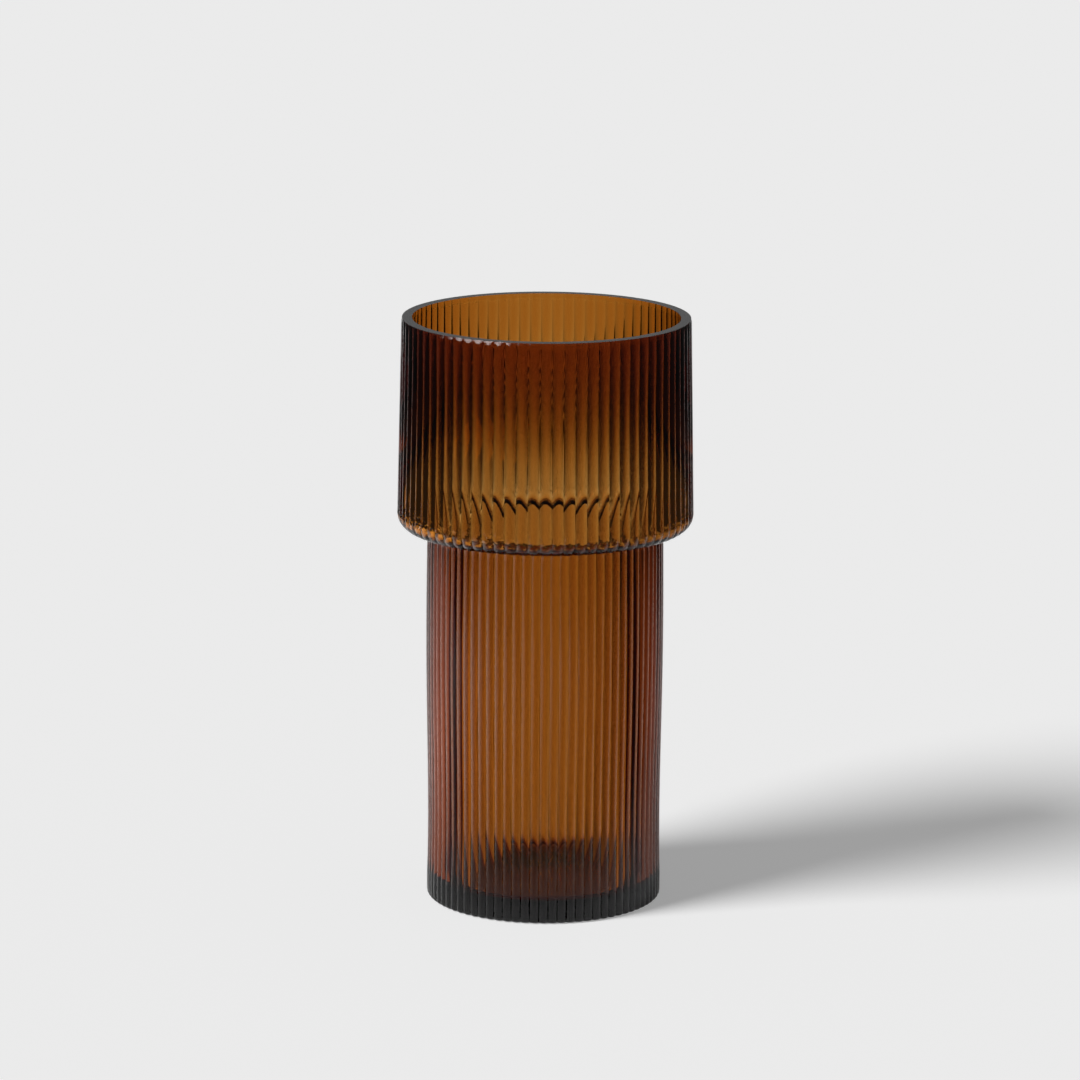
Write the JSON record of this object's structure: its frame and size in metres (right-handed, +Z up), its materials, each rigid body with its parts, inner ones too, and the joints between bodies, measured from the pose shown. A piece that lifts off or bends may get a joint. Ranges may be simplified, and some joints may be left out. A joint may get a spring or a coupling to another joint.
{
  "type": "ribbed glass vase",
  "caption": "Tall two-tier vase in ribbed amber glass: a wide open bowl above a narrower cylinder, with a thick solid base.",
  "frame": {"origin": "centre of the flat ring that the vase stands on", "axes": "+Z up along the vase's axis to the open mouth; +X and +Y are interchangeable across the round body"},
  "size_m": [0.14, 0.1402, 0.28],
  "materials": {
    "base_glass": "thick transparent dark amber glass, gloss",
    "wall_glass": "transparent amber glass, fire-polished gloss with fine waviness",
    "rim_glass": "amber glass, ground flat and polished, with a bevelled outer edge"
  },
  "bodies": {
    "root": {"base_disc": "base_glass", "lower_wall": "wall_glass", "shoulder_ring": "wall_glass", "upper_wall": "wall_glass", "rim_band": "rim_glass"}
  },
  "joints": []
}
